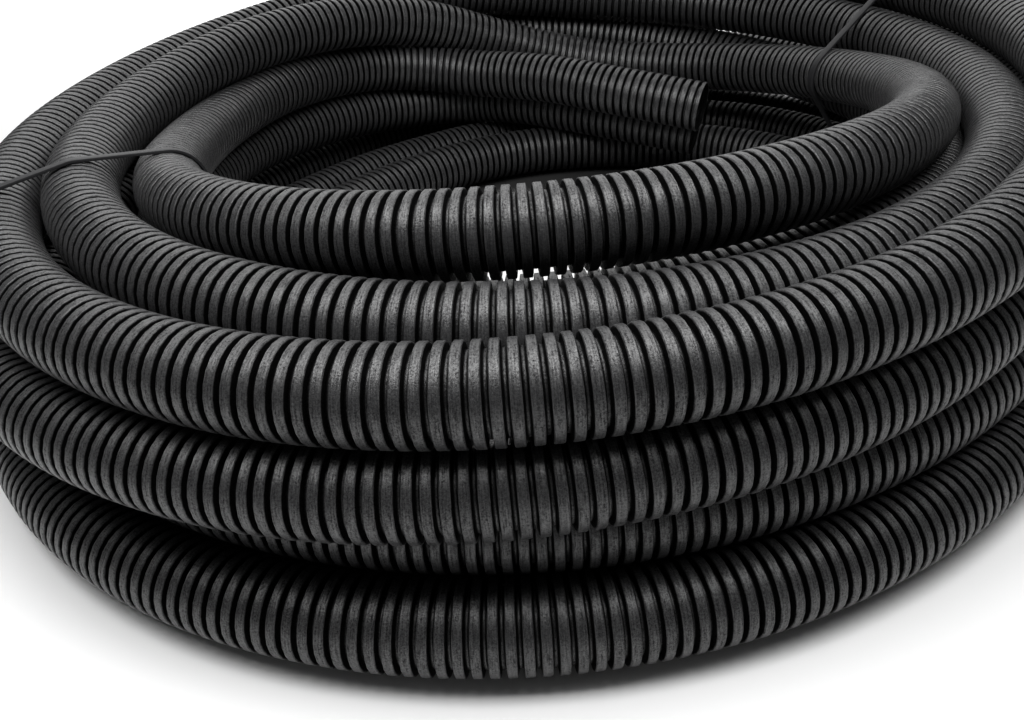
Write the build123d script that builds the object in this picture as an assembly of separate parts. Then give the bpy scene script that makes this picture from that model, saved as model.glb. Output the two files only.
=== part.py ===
"""Coil of corrugated flexible conduit, 25 mm, as cut stock tied in two places.

The coil lies flat, with Z up and the floor at the underside of its straps.
A seat is the place of one turn in the coil's section, counted in conduit
diameters from the seat of the innermost turn on the floor. One turned solid
carries the wound turns; the two free ends leave its inner wall and finish in
open, corrugated mouths; two straps hold the bundle.
"""

import os
from math import acos, asin, cos, degrees, radians, sin, sqrt

from build123d import *

os.makedirs("parts", exist_ok=True)

# conduit
conduit_od = 25.0        # over the crests
groove_depth = 2.3       # crest to groove root
wall = 0.7               # moulded wall, the same through crest, flank and groove
rib_pitch = 4.15
crest_share = 0.60       # of a pitch at full diameter
root_share = 0.24        # of a pitch at the groove root

# coil: seats as (across, up), in winding order from the top inner turn
floor_turn_radius = 193.0
nest = 0.2               # neighbouring turns press into each other by this much
seats = {
    "top": (-1.42, 2.60), "second": (-0.48, 2.80), "third": (0.45, 3.05), "fourth": (0.95, 2.0),
    "fifth": (0.84, 1.0), "floor outer": (1.03, 0.0), "floor inner": (0.0, 0.0), "sixth": (-0.36, 0.93),
    "seventh": (-0.10, 1.85),
}

# straps
strap_width = 3.6
strap_thickness = 1.2
strap_clearance = 0.15
strap_azimuths = {"strap_left": 190.0, "strap_back": 28.0}
head_length, head_width, head_depth, head_round = 6.4, 5.4, 4.0, 0.8

# free ends, seen from above: azimuth where each leaves its seat, how far it turns,
# how far inside its seat the bend ends, and how far the mouth hangs below the seat
mouth_ribs = 7
shows_from = 4.0         # an end's solid starts where it stands this far out of its seat
ends = {
    "conduit_end_top": dict(seat="top", leaves_at=165.0, turns=105.0, stands_in=29.0, drop=25.5, straight=60.0),
    "conduit_end_low": dict(seat="sixth", leaves_at=165.0, turns=107.0, stands_in=47.0, drop=13.0, straight=58.0),
}

tube_radius = conduit_od / 2
root_radius = tube_radius - groove_depth
bore_radius = root_radius - wall


def centre(seat):
    """Radius and height of a seat's tube centre."""
    across, up = seats[seat]
    step = conduit_od - nest
    return floor_turn_radius + across * step, strap_thickness + strap_clearance + tube_radius + up * step


def conduit_coil():
    """The wound turns as one turned solid: a round on every seat and a filled core between them."""
    core = [centre(name) for name in seats if name != "top"]
    with BuildSketch(Plane.XZ) as section:
        with Locations(*[centre(name) for name in seats]):
            Circle(tube_radius)
        with BuildLine():
            Polyline(*core, close=True)
        make_face()
    return revolve(section.sketch, Axis.Z)


def rib(crest_radius, start, inset):
    """One rib from start: up its flank, along its crest and down. The inset narrows it at both sides."""
    flank = rib_pitch * (1 - crest_share - root_share) / 2
    crest_from, crest_to = start + flank, start + flank + rib_pitch * crest_share
    low = crest_radius - groove_depth
    return [(crest_from - flank + inset, low), (crest_from + inset, crest_radius),
            (crest_to - inset, crest_radius), (crest_to + flank - inset, low)]


def mouth():
    """Open end of the conduit along +X from the origin, and its length: ribs outside, the same waves inside.

    The inner waves lie one wall inside the outer ones on every side, and the
    conduit is cut square, half-way through its last crest.
    """
    length = (mouth_ribs - 1) * rib_pitch + rib_pitch * (1 - root_share) / 2
    outside, inside = [], [(0, bore_radius)]
    for i in range(mouth_ribs):
        outside += rib(tube_radius, i * rib_pitch, 0)
        inside += rib(tube_radius - wall, i * rib_pitch, wall)
    outside = outside[:-2] + [(length, tube_radius)]
    inside = inside[:-2] + [(length, tube_radius - wall)]
    with BuildSketch(Plane.XZ) as section:
        with BuildLine():
            Polyline(*outside, *reversed(inside), close=True)
        make_face()
    return revolve(section.sketch, Axis.X), length


def conduit_end(seat, leaves_at, turns, stands_in, drop, straight):
    """Free end: an arc that leaves its seat tangentially, a straight stretch and the mouth.

    It is drawn level and then tipped about its start, until its mouth hangs
    the stated drop below its seat.
    """
    seat_radius, height = centre(seat)
    versine = 1 - cos(radians(turns))
    bend_end_radius = seat_radius - stands_in
    bend_radius = seat_radius / 2 + sqrt(seat_radius**2 / 4 - (seat_radius**2 - bend_end_radius**2) / (2 * versine))
    shift = seat_radius - bend_radius
    clear_radius = seat_radius - shows_from
    inside_seat = degrees(acos((clear_radius**2 - shift**2 - bend_radius**2) / (2 * shift * bend_radius)))

    outward = Vector(cos(radians(leaves_at)), sin(radians(leaves_at)), 0)
    start = outward * seat_radius + Vector(0, 0, height)
    arc = CenterArc(outward * shift + Vector(0, 0, height), bend_radius, leaves_at - turns, turns - inside_seat)
    arc_end = arc @ 0
    heading = Vector(sin(radians(leaves_at - turns)), -cos(radians(leaves_at - turns)), 0)
    ribs, ribs_length = mouth()
    mouth_at = arc_end + heading * straight

    across = Plane(origin=arc_end, x_dir=(0, 0, 1), z_dir=heading)
    bend = sweep(across * Circle(tube_radius), path=arc)
    plain = extrude(across * (Circle(tube_radius) - Circle(bore_radius)), straight - ribs_length)
    ribbed = Plane(origin=mouth_at - heading * ribs_length, x_dir=heading, z_dir=(0, 0, 1)).location * ribs
    reach = mouth_at - start
    hinge = Axis(start, Vector(0, 0, 1).cross(reach))
    tip = degrees(asin(drop / reach.length))
    return (bend + plain + ribbed).rotate(hinge, tip)


def strap(azimuth):
    """Strap pulled tight round the bundle, in the vertical plane at this azimuth, its head on the outside."""
    rounds = [Pos(*centre(name)) * Circle(tube_radius + strap_clearance) for name in seats]
    bundle = make_hull([edge for circle in rounds for edge in circle.edges()])
    band = Plane.XZ * (offset(bundle, strap_thickness) - bundle)
    band = extrude(band, strap_width / 2, both=True)

    head_radius, head_height = centre("fifth")
    head_height += tube_radius
    slice_there = bundle & Pos(head_radius, head_height) * Rectangle(3 * conduit_od, head_length)
    head_from = slice_there.bounding_box().max.X + strap_thickness / 2
    head = Pos(head_from + head_depth / 2, 0, head_height) * Box(head_depth, head_width, head_length)
    head = fillet(head.edges().group_by(Axis.X)[-1], head_round)
    return Rot(0, 0, azimuth) * (band + head)


coil = conduit_coil()
export_step(coil, "parts/conduit_coil.step")
for name, shape in ends.items():
    export_step((conduit_end(**shape) - coil).solid(), f"parts/{name}.step")
for name, azimuth in strap_azimuths.items():
    export_step(strap(azimuth), f"parts/{name}.step")
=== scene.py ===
"""Coil of black corrugated conduit on a pale floor: two lengths wound together and tied with two straps.

The conduit is a tube with a rib every few millimetres, carried along the route of each winding.
Sizes and places are in millimetres and become metres where a mesh or a lamp is made.
"""

import bmesh
import bpy
import numpy as np
from mathutils import Matrix, Vector


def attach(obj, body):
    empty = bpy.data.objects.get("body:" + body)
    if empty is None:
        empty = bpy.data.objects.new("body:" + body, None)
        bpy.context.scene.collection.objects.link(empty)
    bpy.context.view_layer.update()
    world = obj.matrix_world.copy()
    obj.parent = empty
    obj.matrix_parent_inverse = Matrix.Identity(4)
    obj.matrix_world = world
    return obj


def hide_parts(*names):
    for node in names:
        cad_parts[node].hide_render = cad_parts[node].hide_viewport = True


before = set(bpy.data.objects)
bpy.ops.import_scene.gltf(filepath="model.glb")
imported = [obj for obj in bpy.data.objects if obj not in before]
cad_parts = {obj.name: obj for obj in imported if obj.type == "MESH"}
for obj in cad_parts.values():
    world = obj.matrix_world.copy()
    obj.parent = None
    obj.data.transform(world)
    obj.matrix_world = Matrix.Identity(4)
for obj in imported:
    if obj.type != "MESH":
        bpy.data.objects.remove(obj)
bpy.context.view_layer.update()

MM = 0.001

# conduit section
OUTSIDE_DIAMETER = 25.0
GROOVE_DEPTH = 2.3
WALL = 0.7
RIB_PITCH = 4.15
CREST_SHARE = 0.60
ROOT_SHARE = 0.24
EDGE_ROUND = 0.22
ROOT_RISE = 0.12
TUBE_RADIUS = OUTSIDE_DIAMETER / 2

# meshes: points round a tube, ribs that the wall goes back inside a mouth, millimetres between path points
AROUND, AROUND_HIDDEN = 24, 20
INSIDE_RIBS = 12
PATH_STEP = 4.0

# the turns' slight oval: the radius changes by these amounts, twice round the coil
OVAL_COS, OVAL_SIN = -6.2, 12.3
STEP = 15.0  # degrees between control points
CURVE_RESOLUTION = 12  # points read from the curve for each control point

# camera, as found from the perspective of the turns
PICTURE_WIDTH = 1024
SENSOR_WIDTH = 36.0
FOCAL_PIXELS = 948.4
CAMERA_PLACE = (-16.9, -403.9, 196.8)
CAMERA_PITCH = 0.545
CAMERA_ROLL = -0.057

# stage
FLOOR_SIZE = 12.0  # metres
WORLD_LIGHT = 0.07


class Turn:
    """One turn of a winding: an oval circle with a shift and a tilt, which may stand in or out at one side.

    It is joined to the turn before by a smooth step between the two winding angles of joins.
    The dip is how far it stands in, at which azimuth, and how wide. A turn that gives moves
    aside for the others when they are settled.
    """

    def __init__(
            self, name, radius, shift, height, tilt, joins, dip=(0, 0, 1), oval=1.0, fine=True, gives=0.1):
        self.name = name
        self.radius = radius
        self.shift = shift
        self.height = height
        self.tilt = tilt
        self.joins = joins
        self.dip = dip
        self.oval = oval
        self.fine = fine
        self.gives = gives

    def line(self, angles):
        """Points of this turn at winding angles in degrees."""
        a = np.radians(angles)
        stands_in, azimuth, spread = self.dip
        away = np.mod(angles - azimuth + 180, 360) - 180
        radius = self.radius + self.oval * (OVAL_COS * np.cos(2 * a) + OVAL_SIN * np.sin(2 * a))
        radius = radius - stands_in * np.exp(-0.5 * (away / spread) ** 2)
        return np.stack([
            self.shift[0] + radius * np.cos(a), self.shift[1] + radius * np.sin(a),
            self.height + self.tilt[0] * np.cos(a) + self.tilt[1] * np.sin(a)], -1)


# The winding angle counts on from turn to turn. It is 0 at the right and 270 at the front, seen from above.
OUTER_WINDING = [
    Turn("coil_turn_1", 153.9, (8.8, -10.2), 74.0, (2.7, -22.4), (150, 215)),
    Turn("coil_turn_2", 181.9, (7.9, -10.5), 82.8, (-3.4, 2.0), (420, 510)),
    Turn("coil_turn_3", 203.8, (5.0, -15.1), 91.2, (6.6, 10.2), (780, 870)),
    Turn("coil_turn_4", 215.8, (-2.5, -5.9), 65.6, (7.1, 9.3), (1140, 1230)),
    Turn("coil_turn_5", 215.0, (9.3, 5.0), 40.1, (3.3, 6.2), (1500, 1590)),
    Turn("coil_turn_6", 220.0, (4.9, -5.8), 13.9, (0, 0), (1860, 1950)),
    Turn("floor_turn_1", 195.0, (4.9, -5.8), 13.9, (0, 0), (2230, 2320), fine=False, gives=1.0),
    Turn("floor_turn_2", 163.0, (5, -5), 13.9, (0, 0), (2565, 2635), (17, 138, 35), 0.3, False, 1.0),
    Turn("floor_turn_3", 140.0, (3, -3), 13.9, (0, 0), (2915, 2960), (18, 138, 35), 0.3, False, 1.0),
]
OUTER_WINDING_ENDS = 3180

INNER_WINDING = [
    Turn("inner_turn", 161.0, (3, 0), 62.5, (5, -3), (160, 230), oval=0.3, fine=False, gives=1.0),
    Turn("inner_turn_back", 187.0, (0, 0), 71.0, (-25, 3), (350, 400), oval=0.3, fine=False, gives=1.0),
]
INNER_WINDING_ENDS = 475

# the straps hold every strand up to this winding angle; the floor turns after it lie loose inside the ring
STRAPPED_UNTIL = 2600

# free ends from the mouth to the left wall: azimuth, radius, height
TOP_END = [
    (41.5, 120, 49), (56.5, 111, 53), (69.5, 110.5, 55.5), (81, 116.5, 58), (92, 129, 60), (101, 143, 61.5),
    (110, 153, 63.5), (120, 158, 66), (132, 158, 70), (146, 153, 74),
]
LOW_END = [
    (47, 133, 30), (61, 126, 34), (71.5, 127, 36), (82, 133, 38), (91.5, 143, 39.5), (100, 155, 40),
    (110, 160, 42), (122, 161, 43), (136, 159, 44), (150, 157, 45),
]
LEAVES = 150
END_GIVES = 0.15

# settling pushes strands apart towards this spacing, and lets none lie lower than on the straps
SPACING = 24.6
LOWEST = 13.9
SETTLE_ROUNDS = 120

# straps
STRAP_WIDTH = 3.6
STRAP_THICKNESS = 1.1
STRAP_AZIMUTHS = {"strap_left": 212.0, "strap_back": 24.0}
STRAP_CLEARANCE = 0.15
HEAD_LENGTH, HEAD_WIDTH, HEAD_DEPTH, HEAD_ROUND = 6.4, 5.4, 4.0, 0.8
CATCH_LENGTH, CATCH_WIDTH, CATCH_DEPTH, CATCH_ROUND = 2.88, 2.7, 0.8, 0.15
TAIL_SHOWS, TAIL_HIDDEN, TAIL_WIDTH, TAIL_ROUND = 3.0, 1.0, 3.384, 0.2
TAIL_LIES = 1.76  # above the clearance round the strands

# linear colours of the finishes, and of the painted shade in the grooves and on the floor inside the ring
CREST_COLOUR = (0.019, 0.019, 0.0197)
SPECK_COLOUR = (0.06, 0.06, 0.062)
# crest edges: paler by abrasion, and a painted highlight
RUBBED_AND_HIGHLIGHT_COLOUR = (0.06, 0.06, 0.061)
# painted shade: the colour of a groove's sides and root corners
GROOVE_PAINTED_SHADE_COLOUR = (0.0015, 0.0015, 0.0015)
STRAP_COLOUR = (0.012, 0.012, 0.013)
FLOOR_COLOUR = (0.86, 0.86, 0.86)
# painted shade on the floor inside the ring
SHADED_FLOOR_COLOUR = (0.02, 0.02, 0.02)


def smooth_step(t):
    """0 before 0, 1 after 1, and 3t^2 - 2t^3 between."""
    t = np.clip(t, 0, 1)
    return t * t * (3 - 2 * t)


def polar(azimuth, radius, height):
    """Point at an azimuth in degrees, a radius and a height."""
    a = np.radians(azimuth)
    return np.stack([radius * np.cos(a), radius * np.sin(a), height + 0 * a], -1)


def winding_places(end_points, turns, ends):
    """Places of a whole winding: the free end as listed, then a loop over the turns.

    Each turn takes over from the one before, and the first from the free end carried on at its
    last radius and height. Gives the winding angles, (radius, height) there and how much each
    place gives: the fitted turns give only at the back, around azimuth 105, where they are hidden.
    """
    angles = np.arange(LEAVES + STEP / 2, ends, STEP)
    points = polar(angles, end_points[-1][1], end_points[-1][2])
    gives = np.full(len(angles), END_GIVES)
    for turn in turns:
        start, end = turn.joins
        share = smooth_step((angles - start) / (end - start))
        points = points * (1 - share[:, None]) + turn.line(angles) * share[:, None]
        gives = gives * (1 - share) + turn.gives * share
    hidden = np.exp(-0.5 * ((np.mod(angles, 360) - 105) / 35) ** 2)
    gives = gives + (1 - gives) * hidden
    azimuths, radii, heights = np.array(end_points, float).T
    wound = np.degrees(np.unwrap(np.arctan2(points[:, 1], points[:, 0])))
    radii = np.append(radii, np.hypot(points[:, 0], points[:, 1]))
    heights = np.append(heights, points[:, 2])
    gives = np.append(np.full(len(azimuths), END_GIVES), gives)
    return np.append(azimuths, wound), np.stack([radii, heights], -1), gives


def settle(windings):
    """Pushes strands apart where they cross the same azimuth nearer than the spacing.

    In every round each place is compared with all the other strands at its azimuth, read off by
    straight lines between their places. A pair that is too near moves apart along the line
    between them, shared by how much each gives, and the moves are evened out along the strand.
    """
    most = int(max(angles[-1] for angles, _, _ in windings) // 360) + 1
    for _ in range(SETTLE_ROUNDS):
        moves = []
        for i, (angles, places, gives) in enumerate(windings):
            move = np.zeros_like(places)
            for j, (other_angles, other_places, other_gives) in enumerate(windings):
                for turns in range(-most, most + 1):
                    at = angles + 360 * turns
                    beside = (at >= other_angles[0]) & (at <= other_angles[-1])
                    if not beside.any() or (i == j and turns == 0):
                        continue
                    other = np.stack([np.interp(at, other_angles, other_places[:, k]) for k in (0, 1)], -1)
                    apart = places - other
                    distance = np.maximum(np.linalg.norm(apart, axis=1), 0.01)
                    short = np.clip(SPACING - distance, 0, None) * beside
                    share = gives / (gives + np.interp(at, other_angles, other_gives))
                    move += apart * (short * share / distance)[:, None]
            even = np.concatenate([move[:1], move, move[-1:]])
            moves.append((even[:-2] + 2 * even[1:-1] + even[2:]) / 4)
        for (_, places, _), move in zip(windings, moves):
            places += 0.5 * move
            places[:, 1] = np.maximum(places[:, 1], LOWEST)
    return windings


def winding_points(angles, places):
    """Control points at these winding angles, (radius, height).

    A smooth curve of order 3 runs inside its points by the cosine of half a step, so the
    distances from the axis are divided by it.
    """
    points = polar(angles, places[:, 0], places[:, 1])
    points[:, :2] /= np.cos(np.radians(STEP / 2))
    return points


def smooth_curve(name, points):
    """Points along a NURBS spline of order 3 through this route, read from Blender's own curve."""
    data = bpy.data.curves.new(name, "CURVE")
    data.dimensions = "3D"
    spline = data.splines.new("NURBS")
    spline.points.add(len(points) - 1)
    spline.points.foreach_set("co", np.column_stack([points * MM, np.ones(len(points))]).ravel())
    spline.order_u = 3
    spline.use_endpoint_u = True
    spline.resolution_u = CURVE_RESOLUTION
    thing = bpy.data.objects.new(name, data)
    mesh = bpy.data.meshes.new_from_object(thing)
    line = np.empty(len(mesh.vertices) * 3)
    mesh.vertices.foreach_get("co", line)
    bpy.data.objects.remove(thing)
    bpy.data.curves.remove(data)
    bpy.data.meshes.remove(mesh)
    return line.reshape(-1, 3) / MM


class Route:
    """A smooth route by its length from the start."""

    def __init__(self, line):
        self.line = line
        steps = np.linalg.norm(np.diff(line, axis=0), axis=1)
        self.lengths = np.concatenate([[0], np.cumsum(steps)])
        self.total = self.lengths[-1]
        self.angles = np.degrees(np.unwrap(np.arctan2(line[:, 1], line[:, 0])))

    def at(self, s):
        """Points at lengths s; before the start and after the end they stay at the first and last point."""
        return np.stack([np.interp(s, self.lengths, self.line[:, k]) for k in range(3)], -1)

    def frame(self, s):
        """Points, and unit vectors along, sideways (level, away from the axis) and up at lengths s."""
        along = self.at(s + 2.0) - self.at(s - 2.0)
        along /= np.linalg.norm(along, axis=-1, keepdims=True)
        side = np.cross(along, (0.0, 0.0, 1.0))
        side /= np.linalg.norm(side, axis=-1, keepdims=True)
        return self.at(s), along, side, np.cross(side, along)

    def length_at(self, angle):
        """Length at which the route reaches a winding angle."""
        return np.interp(angle, self.angles, self.lengths)


def rib_profile(fine):
    """One pitch of the outside: places along it as shares of it, and how far below the crest each lies.

    It starts at the groove root, climbs a flank, rounds the crest's edge, runs flat along the
    crest and comes down again. A fine profile has a slightly raised root.
    """
    flank = (1 - CREST_SHARE - ROOT_SHARE) / 2
    edge = EDGE_ROUND / RIB_PITCH
    crest_start = ROOT_SHARE + flank
    crest_end = crest_start + CREST_SHARE
    rings = [
        (0.0, GROOVE_DEPTH), (ROOT_SHARE, GROOVE_DEPTH), (crest_start, EDGE_ROUND),
        (crest_start + edge, 0.0), (crest_end - edge, 0.0), (crest_end, EDGE_ROUND),
    ]
    if fine:
        rings.insert(1, (ROOT_SHARE / 2, GROOVE_DEPTH - ROOT_RISE))
    return np.array(rings)


def grid_faces(rings, around, closed=False):
    """Quads of a grid of rings, closed round each ring, and from the last ring to the first if closed."""
    i, j = np.meshgrid(np.arange(rings if closed else rings - 1), np.arange(around), indexing="ij")
    k, n = (j + 1) % around, (i + 1) % rings
    return np.stack([i * around + j, n * around + j, n * around + k, i * around + k], -1).reshape(-1, 4)


def mesh_object(name, points, faces, material, **attributes):
    """Object at the origin from points in millimetres, with smooth faces and attributes at its points."""
    mesh = bpy.data.meshes.new(name)
    mesh.from_pydata((np.asarray(points) * MM).tolist(), [], np.asarray(faces).tolist())
    for label, values in attributes.items():
        values = np.ascontiguousarray(values, float)
        kind, field = ("FLOAT", "value") if values.ndim == 1 else ("FLOAT_VECTOR", "vector")
        mesh.attributes.new(label, kind, "POINT").data.foreach_set(field, values.ravel())
    mesh.shade_smooth()
    mesh.set_sharp_from_angle(angle=np.radians(28))
    mesh.update()
    thing = bpy.data.objects.new(name, mesh)
    bpy.context.collection.objects.link(thing)
    thing.data.materials.append(material)
    return thing


def tube_rings(route, s, radius, around):
    """Rings of a tube: at each length s a circle of that radius, square to the route.

    Point = centre + radius (cos v side + sin v up), with v running once round. The second result
    is the same tube pulled straight, (s, radius cos v, radius sin v), in metres.
    """
    centre, _, side, up = route.frame(s)
    v = np.linspace(0, 2 * np.pi, around, endpoint=False)[None, :]
    out, rise = radius[:, None] * np.cos(v), radius[:, None] * np.sin(v)
    rings = centre[:, None] + out[..., None] * side[:, None] + rise[..., None] * up[:, None]
    straight = np.stack([s[:, None] + 0 * v, out, rise], -1) * MM
    return rings.reshape(-1, 3), straight.reshape(-1, 3)


def ribbed_tube(name, route, start, end, fine, material, mouth=None):
    """Corrugated conduit along a route, from one length to another, both snapped to a groove.

    The rib profile is repeated at every pitch. A mouth at the start or the end is cut through the
    middle of a crest, and the wall goes back inside from there, one wall thinner.
    """
    around = AROUND if fine else AROUND_HIDDEN
    first, last = round(start / RIB_PITCH), round(end / RIB_PITCH)
    profile = rib_profile(fine)
    s = ((np.arange(first, last)[:, None] + profile[None, :, 0]) * RIB_PITCH).ravel()
    radius = np.tile(TUBE_RADIUS - profile[:, 1], last - first)
    s, radius = np.append(s, last * RIB_PITCH), np.append(radius, TUBE_RADIUS - GROOVE_DEPTH)
    low, high = first * RIB_PITCH, last * RIB_PITCH
    if mouth == "start":
        low += RIB_PITCH / 2
        s, radius = np.append(low, s[s > low]), np.append(TUBE_RADIUS, radius[s > low])
        inside = s < low + INSIDE_RIBS * RIB_PITCH
        s = np.concatenate([s[inside][::-1], s])
        radius = np.concatenate([radius[inside][::-1] - WALL, radius])
    elif mouth == "end":
        high -= RIB_PITCH / 2
        s, radius = np.append(s[s < high], high), np.append(radius[s < high], TUBE_RADIUS)
        inside = s > high - INSIDE_RIBS * RIB_PITCH
        s = np.concatenate([s, s[inside][::-1]])
        radius = np.concatenate([radius, radius[inside][::-1] - WALL])
    points, straight = tube_rings(route, s, radius, around)
    groove = np.repeat((TUBE_RADIUS - radius) / GROOVE_DEPTH, around)
    thing = mesh_object(name, points, grid_faces(len(s), around), material, groove=groove, straight=straight)
    path = route.at(np.linspace(low, high, max(40, int((high - low) / PATH_STEP))))
    return thing, path * MM, (high - low) * MM


def declare(thing, node):
    """Lets a stretch of conduit ride with the coil and hides the part of model.glb that it stands for."""
    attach(thing, "root")
    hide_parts(node)


def make_winding(places, turns, end_name, end_node, material):
    """A whole winding: its free end, then a piece for each turn, all on one smooth route."""
    angles, sections, _ = places
    route = Route(smooth_curve(end_name + "_route", winding_points(angles, sections)))
    cuts = [LEAVES + 30] + [sum(turn.joins) / 2 for turn in turns[1:]] + [route.angles[-1]]
    lengths = [0.0] + [float(route.length_at(a)) for a in cuts]
    thing, path, length = ribbed_tube(end_name, route, 0, lengths[1], True, material, "start")
    declare(thing, end_node)
    for turn, start, end in zip(turns, lengths[1:], lengths[2:]):
        mouth = "end" if turn is turns[-1] else None
        thing, path, length = ribbed_tube(turn.name, route, start, end, turn.fine, material, mouth)
        declare(thing, "conduit_coil")
    print(end_name, "and its winding are", round(route.total), "mm long")
    return route


def crossings(routes, azimuth):
    """Tube centres (distance from the axis, height) of the strapped strands at an azimuth."""
    found = []
    for route in routes:
        first = azimuth + 360 * np.ceil((route.angles[0] - azimuth) / 360)
        for angle in np.arange(first, min(STRAPPED_UNTIL, route.angles[-1]), 360):
            point = route.at(route.length_at(angle))
            found.append((np.hypot(point[0], point[1]), point[2]))
    return np.array(found)


def strap_loop(centres, clearance):
    """Tight loop round circles: for each direction the point of the circle that reaches furthest that way.

    Gives the points, their directions and which circle each lies on.
    """
    a = np.linspace(0, 2 * np.pi, 360, endpoint=False)
    normal = np.stack([np.cos(a), np.sin(a)], -1)
    furthest = np.argmax(normal @ centres.T, axis=1)
    return centres[furthest] + (TUBE_RADIUS + clearance) * normal, normal, furthest


def band_points(loop, normal, azimuth):
    """Rings of points of a flat band with rounded outer edges, along a loop in the half plane there."""
    section = np.array([
        (1.0, 0.1), (1.0, 0.65), (0.93, 0.93), (0.8, 1.0), (-0.8, 1.0),
        (-0.93, 0.93), (-1.0, 0.65), (-1.0, 0.1), (-0.9, 0.0), (0.9, 0.0),
    ]) * (STRAP_WIDTH / 2, STRAP_THICKNESS)
    outward, sideways, up = half_plane(azimuth)
    base = loop[:, :1] * outward + loop[:, 1:] * up
    rise = normal[:, :1] * outward + normal[:, 1:] * up
    return base[:, None] + section[None, :, :1] * sideways + section[None, :, 1:] * rise[:, None]


def half_plane(azimuth):
    """Unit vectors outward, square to the half plane at an azimuth, and up."""
    x, y = np.cos(np.radians(azimuth)), np.sin(np.radians(azimuth))
    return np.array([x, y, 0]), np.array([-y, x, 0]), np.array([0.0, 0.0, 1.0])


def rounded_block(bm, centre, axes, sizes, radius):
    """Adds a block with rounded edges, its sizes along the three given axes."""
    made = bmesh.ops.create_cube(bm, size=1)["verts"]
    turned = Matrix([axis * size * MM for axis, size in zip(axes, sizes)]).transposed()
    for vert in made:
        vert.co = centre * MM + turned @ vert.co
    edges = list({edge for vert in made for edge in vert.link_edges})
    bmesh.ops.bevel(bm, geom=edges, offset=radius * MM, segments=4, profile=0.5, affect="EDGES")


def strap_part(thing, strap):
    """Lets a part of a strap ride with the coil."""
    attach(thing, "root")
    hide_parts(strap)


def make_strap(name, azimuth, routes, material):
    """Strap pulled tight round the strapped strands: its band, and outside its head with the cut tail."""
    centres = crossings(routes, azimuth)
    loop, normal, furthest = strap_loop(centres, STRAP_CLEARANCE)
    rings = band_points(loop, normal, azimuth)
    faces = grid_faces(len(loop), rings.shape[1], closed=True)
    strap_part(mesh_object(name + "_band", rings.reshape(-1, 3), faces, material), name)

    # the head sits in the middle of the straight stretch that faces outwards most
    leaves = np.nonzero(furthest != np.roll(furthest, -1))[0]
    k = leaves[np.argmax(normal[leaves, 0])]
    outward, sideways, up = half_plane(azimuth)
    middle = (loop[k] + loop[(k + 1) % len(loop)]) / 2
    foot = Vector(middle[0] * outward + middle[1] * up)
    rise = Vector(normal[k, 0] * outward + normal[k, 1] * up)
    across = Vector(sideways)
    along = across.cross(rise)
    if along.z < 0:
        across, along = -across, -along
    axes = (along, across, rise)
    bm = bmesh.new()
    rounded_block(
        bm, foot + rise * HEAD_DEPTH / 2, axes, (HEAD_LENGTH, HEAD_WIDTH, HEAD_DEPTH), HEAD_ROUND)
    rounded_block(
        bm, foot + rise * (HEAD_DEPTH + CATCH_DEPTH / 4), axes, (CATCH_LENGTH, CATCH_WIDTH, CATCH_DEPTH),
        CATCH_ROUND)
    tail = foot + rise * (STRAP_CLEARANCE + TAIL_LIES) + along * (HEAD_LENGTH + TAIL_SHOWS - TAIL_HIDDEN) / 2
    rounded_block(bm, tail, axes, (TAIL_SHOWS + TAIL_HIDDEN, TAIL_WIDTH, STRAP_THICKNESS), TAIL_ROUND)
    mesh = bpy.data.meshes.new(name + "_head")
    bm.to_mesh(mesh)
    bm.free()
    mesh.shade_smooth()
    mesh.set_sharp_from_angle(angle=np.radians(35))
    head = bpy.data.objects.new(name + "_head", mesh)
    bpy.context.collection.objects.link(head)
    head.data.materials.append(material)
    strap_part(head, name)


def add_node(tree, kind, inputs=(), **settings):
    """Adds a shader node; each of its inputs takes a value or the output socket of another node."""
    made = tree.nodes.new("ShaderNode" + kind)
    for setting, value in settings.items():
        setattr(made, setting, value)
    for key, value in dict(inputs).items():
        if isinstance(value, bpy.types.NodeSocket):
            tree.links.new(value, made.inputs[key])
        else:
            made.inputs[key].default_value = value
    return made


def new_effect(name, inputs, outputs):
    """Empty node group with these sockets; gives the group, its inputs and its outputs."""
    tree = bpy.data.node_groups.new(name, "ShaderNodeTree")
    for label, kind in inputs:
        tree.interface.new_socket(label, in_out="INPUT", socket_type="NodeSocket" + kind)
    for label, kind in outputs:
        tree.interface.new_socket(label, in_out="OUTPUT", socket_type="NodeSocket" + kind)
    return tree, tree.nodes.new("NodeGroupInput").outputs, tree.nodes.new("NodeGroupOutput").inputs


def ramp(tree, value, *stops):
    """Value turned into another by straight lines between (from, to) stops."""
    made = add_node(tree, "ValToRGB", {0: value})
    stops_made = made.color_ramp.elements
    stops_made[0].position, stops_made[-1].position = stops[0][0], stops[-1][0]
    stops_made[0].color = (*[stops[0][1]] * 3, 1)
    stops_made[-1].color = (*[stops[-1][1]] * 3, 1)
    for position, level in stops[1:-1]:
        stops_made.new(position).color = (*[level] * 3, 1)
    return made.outputs["Color"]


def scaled(tree, vector, scale):
    """Vector multiplied by a scale for each axis."""
    return add_node(tree, "VectorMath", {0: vector, 1: scale}, operation="MULTIPLY").outputs[0]


def noise(tree, vector, scale, detail=2.0, roughness=0.5):
    """Noise value between 0 and 1, at a scale in waves per metre."""
    inputs = {"Vector": vector, "Scale": scale, "Detail": detail, "Roughness": roughness}
    return add_node(tree, "TexNoise", inputs).outputs[0]


def sum_of(tree, *values):
    """Sum of several values."""
    total = values[0]
    for value in values[1:]:
        total = add_node(tree, "Math", {0: total, 1: value}, operation="ADD").outputs[0]
    return total


def product(tree, first, second):
    """Product of two values."""
    return add_node(tree, "Math", {0: first, 1: second}, operation="MULTIPLY").outputs[0]


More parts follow.
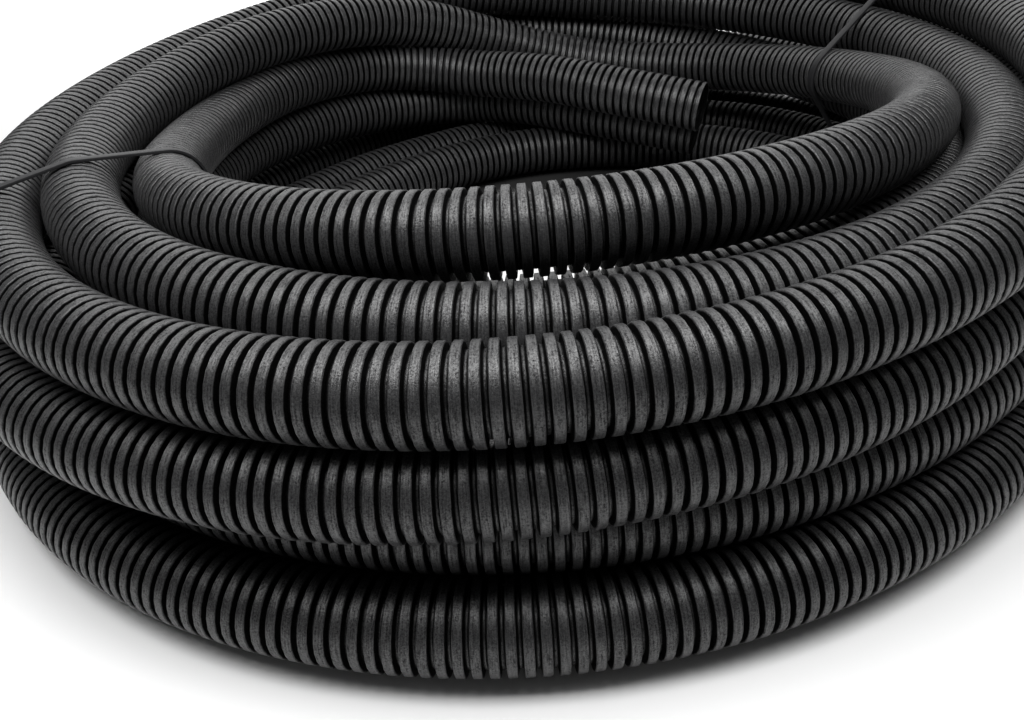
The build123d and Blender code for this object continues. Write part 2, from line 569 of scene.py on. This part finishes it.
def fine_grain_effect():
    """Fine speckled grain of moulded plastic: its height, and rare bright specks."""
    tree, entry, leave = new_effect(
        "fine_grain", [("Place", "Vector")], [("Height", "Float"), ("Specks", "Float")])
    coarse = noise(tree, entry["Place"], 1900.0, 2.0, 0.6)
    small = noise(tree, entry["Place"], 4500.0, 1.0)
    height = sum_of(tree, product(tree, coarse, 0.6), product(tree, small, 0.4))
    specks = ramp(tree, noise(tree, entry["Place"], 900.0, 3.0, 0.7), (0.66, 0.0), (0.74, 1.0))
    tree.links.new(height, leave["Height"])
    tree.links.new(specks, leave["Specks"])
    return tree


def round_streaks_effect():
    """Faint streaks that run round the conduit, as its moulds leave them: a value about 0.5."""
    tree, entry, leave = new_effect("round_streaks", [("Place", "Vector")], [("Streaks", "Float")])
    streaks = noise(tree, scaled(tree, entry["Place"], (1.0, 0.07, 0.07)), 2600.0, 3.0, 0.6)
    tree.links.new(streaks, leave["Streaks"])
    return tree


def rib_wear_and_edge_highlight_effect():
    """Where the edges of the crests are abraded paler and carry a painted highlight: a mask from the groove
    depth, broken up by noise.
    """
    tree, entry, leave = new_effect(
        "rib_wear_and_edge_highlight", [("Groove", "Float"), ("Place", "Vector")], [("Wear_and_highlight", "Float")])
    edge = ramp(tree, entry["Groove"], (0.0, 0.0), (0.07, 1.0), (0.2, 0.0))
    patches = ramp(tree, noise(tree, entry["Place"], 260.0, 3.0, 0.6), (0.4, 0.1), (0.62, 1.0))
    tree.links.new(product(tree, edge, patches), leave["Wear_and_highlight"])
    return tree


def use_effect(tree, effect, inputs):
    """Adds a node for an effect and links its inputs."""
    made = tree.nodes.new("ShaderNodeGroup")
    made.node_tree = effect
    for key, value in inputs.items():
        tree.links.new(value, made.inputs[key])
    return made.outputs


def new_material(name):
    """Material with its node tree and its Principled shader."""
    material = bpy.data.materials.new(name)
    material.use_nodes = True
    return material, material.node_tree, material.node_tree.nodes["Principled BSDF"]


def colour_mix(tree, share, first, second):
    """Colour between two, each of which is given plainly or comes from a socket."""
    made = add_node(tree, "Mix", {0: share}, data_type="RGBA")
    for socket, colour in ((made.inputs[6], first), (made.inputs[7], second)):
        if isinstance(colour, bpy.types.NodeSocket):
            tree.links.new(colour, socket)
        else:
            socket.default_value = (*colour, 1)
    return made.outputs[2]


def make_conduit_material(grain, streaks, wear_and_highlight):
    """Black moulded plastic: fine grain, faint streaks round the ribs, crest edges abraded paler with a
    painted highlight.

    Shade is painted into the grooves: colour and shine fall to almost nothing on a groove's steep sides
    and the corners of its root, where little light reaches, and a painted lit strip brings them back along
    the middle of the root.
    """
    material, tree, shader = new_material("conduit_black")
    place = add_node(tree, "Attribute", attribute_name="straight").outputs["Vector"]
    groove = add_node(tree, "Attribute", attribute_name="groove").outputs["Fac"]
    grained = use_effect(tree, grain, {"Place": place})
    streaked = use_effect(tree, streaks, {"Place": place})["Streaks"]
    worn_and_highlighted = use_effect(tree, wear_and_highlight, {"Groove": groove, "Place": place})["Wear_and_highlight"]
    # painted shade and light from the groove depth: crests 1, groove sides and root corners almost 0, a
    # painted lit strip along the middle of the root
    light = ramp(tree, groove, (0.03, 1.0), (0.25, 0.06), (0.93, 0.06), (0.95, 0.9), (0.99, 0.06))
    crest = colour_mix(tree, grained["Specks"], CREST_COLOUR, SPECK_COLOUR)
    # crest edges paler: abrasion and a painted highlight
    rubbed_and_highlighted = colour_mix(tree, product(tree, worn_and_highlighted, 0.6), crest, RUBBED_AND_HIGHLIGHT_COLOUR)
    colour = colour_mix(tree, light, GROOVE_PAINTED_SHADE_COLOUR, rubbed_and_highlighted)
    tree.links.new(colour, shader.inputs["Base Color"])
    roughness = sum_of(
        tree, product(tree, streaked, 0.2), product(tree, grained["Height"], 0.2), product(tree, worn_and_highlighted, 0.08),
        0.22)
    tree.links.new(roughness, shader.inputs["Roughness"])
    height = sum_of(tree, product(tree, grained["Height"], 0.6), product(tree, streaked, 0.4))
    # the painted shade also takes the shine out of the grooves
    shine = product(tree, product(tree, light, 0.5), sum_of(tree, product(tree, height, 10.0), -4.0))
    tree.links.new(shine, shader.inputs["Specular IOR Level"])
    bump = add_node(tree, "Bump", {"Height": height, "Strength": 0.8, "Distance": 0.0002})
    tree.links.new(bump.outputs[0], shader.inputs["Normal"])
    return material


def make_strap_material(grain):
    """Black nylon with a slight sheen."""
    material, tree, shader = new_material("strap_black")
    place = add_node(tree, "TexCoord").outputs["Object"]
    grained = use_effect(tree, grain, {"Place": place})
    shader.inputs["Base Color"].default_value = (*STRAP_COLOUR, 1)
    shader.inputs["Specular IOR Level"].default_value = 0.25
    tree.links.new(sum_of(tree, product(tree, grained["Height"], 0.2), 0.38), shader.inputs["Roughness"])
    bump = add_node(tree, "Bump", {"Height": grained["Height"], "Strength": 0.25, "Distance": 0.00005})
    tree.links.new(bump.outputs[0], shader.inputs["Normal"])
    return material


def make_floor_material():
    """Pale floor with painted shade inside the ring, where little sky reaches it, and white far from the
    coil.
    """
    material, tree, shader = new_material("floor_pale")
    open_sky = add_node(tree, "AmbientOcclusion", {"Distance": 0.2}, samples=16).outputs["AO"]
    place = add_node(tree, "TexCoord").outputs["Object"]
    from_axis = add_node(tree, "VectorMath", {0: place}, operation="LENGTH").outputs["Value"]
    inside = ramp(tree, from_axis, (0.19, 1.0), (0.22, 0.0))
    # painted shade: the floor colour darkens inside the ring where little sky reaches it
    shade = product(tree, ramp(tree, open_sky, (0.5, 1.0), (0.78, 0.0)), inside)
    colour = colour_mix(tree, shade, FLOOR_COLOUR, SHADED_FLOOR_COLOUR)
    tree.links.new(colour, shader.inputs["Base Color"])
    seen = add_node(tree, "LightPath").outputs["Is Camera Ray"]
    far = ramp(tree, from_axis, (0.35, 0.0), (0.9, 1.0))
    shader.inputs["Emission Color"].default_value = (1, 1, 1, 1)
    tree.links.new(product(tree, seen, far), shader.inputs["Emission Strength"])
    shader.inputs["Roughness"].default_value = 0.9
    shader.inputs["Specular IOR Level"].default_value = 0.1
    return material


def make_camera():
    """Camera at the fitted place, pitched down and rolled a little."""
    data = bpy.data.cameras.new("camera")
    data.sensor_width = SENSOR_WIDTH
    data.lens = SENSOR_WIDTH * FOCAL_PIXELS / PICTURE_WIDTH
    camera = bpy.data.objects.new("camera", data)
    bpy.context.collection.objects.link(camera)
    forward = Vector((0, np.cos(CAMERA_PITCH), -np.sin(CAMERA_PITCH)))
    level_right = Vector((1, 0, 0))
    level_up = Vector((0, np.sin(CAMERA_PITCH), np.cos(CAMERA_PITCH)))
    right = np.cos(CAMERA_ROLL) * level_right + np.sin(CAMERA_ROLL) * level_up
    up = -np.sin(CAMERA_ROLL) * level_right + np.cos(CAMERA_ROLL) * level_up
    turned = Matrix((right, up, -forward)).transposed().to_4x4()
    camera.matrix_world = Matrix.Translation(Vector(CAMERA_PLACE) * MM) @ turned
    bpy.context.scene.camera = camera


def area_lamp(name, place, target, size, power):
    """Soft rectangular lamp that faces a target."""
    data = bpy.data.lights.new(name, "AREA")
    data.shape = "RECTANGLE"
    data.size, data.size_y = size[0] * MM, size[1] * MM
    data.energy = power
    lamp = bpy.data.objects.new(name, data)
    bpy.context.collection.objects.link(lamp)
    lamp.location = Vector(place) * MM
    lamp.rotation_euler = (Vector(target) - Vector(place)).to_track_quat("-Z", "Y").to_euler()


def make_stage():
    """Pale floor, and a world that is white to the camera and dim to the object."""
    bpy.ops.mesh.primitive_plane_add(size=FLOOR_SIZE, location=(0, 0, 0))
    floor = bpy.context.object
    floor.name = "floor"
    floor.data.materials.append(make_floor_material())
    world = bpy.data.worlds.new("world")
    bpy.context.scene.world = world
    world.use_nodes = True
    tree = world.node_tree
    seen = add_node(tree, "LightPath").outputs["Is Camera Ray"]
    strength = add_node(tree, "Mix", {0: seen, 2: WORLD_LIGHT, 3: 1.0}, data_type="FLOAT").outputs[0]
    background = tree.nodes["Background"]
    background.inputs["Color"].default_value = (1, 1, 1, 1)
    tree.links.new(strength, background.inputs["Strength"])


make_camera()
grain_effect = fine_grain_effect()
conduit_black = make_conduit_material(grain_effect, round_streaks_effect(), rib_wear_and_edge_highlight_effect())
strap_black = make_strap_material(grain_effect)
outer_places, inner_places = settle([
    winding_places(TOP_END, OUTER_WINDING, OUTER_WINDING_ENDS),
    winding_places(LOW_END, INNER_WINDING, INNER_WINDING_ENDS)])
winding_routes = [
    make_winding(outer_places, OUTER_WINDING, "free_end_top", "conduit_end_top", conduit_black),
    make_winding(inner_places, INNER_WINDING, "free_end_low", "conduit_end_low", conduit_black)]
for strap_name, strap_azimuth in STRAP_AZIMUTHS.items():
    make_strap(strap_name, strap_azimuth, winding_routes, strap_black)
make_stage()
area_lamp("top_lamp", (-40, -210, 440), (-40, -160, 0), (700, 270), 4.2)
area_lamp("back_lamp", (-50, 850, 800), (0, 0, 60), (1600, 1500), 12.5)

scene = bpy.context.scene
scene.view_settings.view_transform = "Standard"
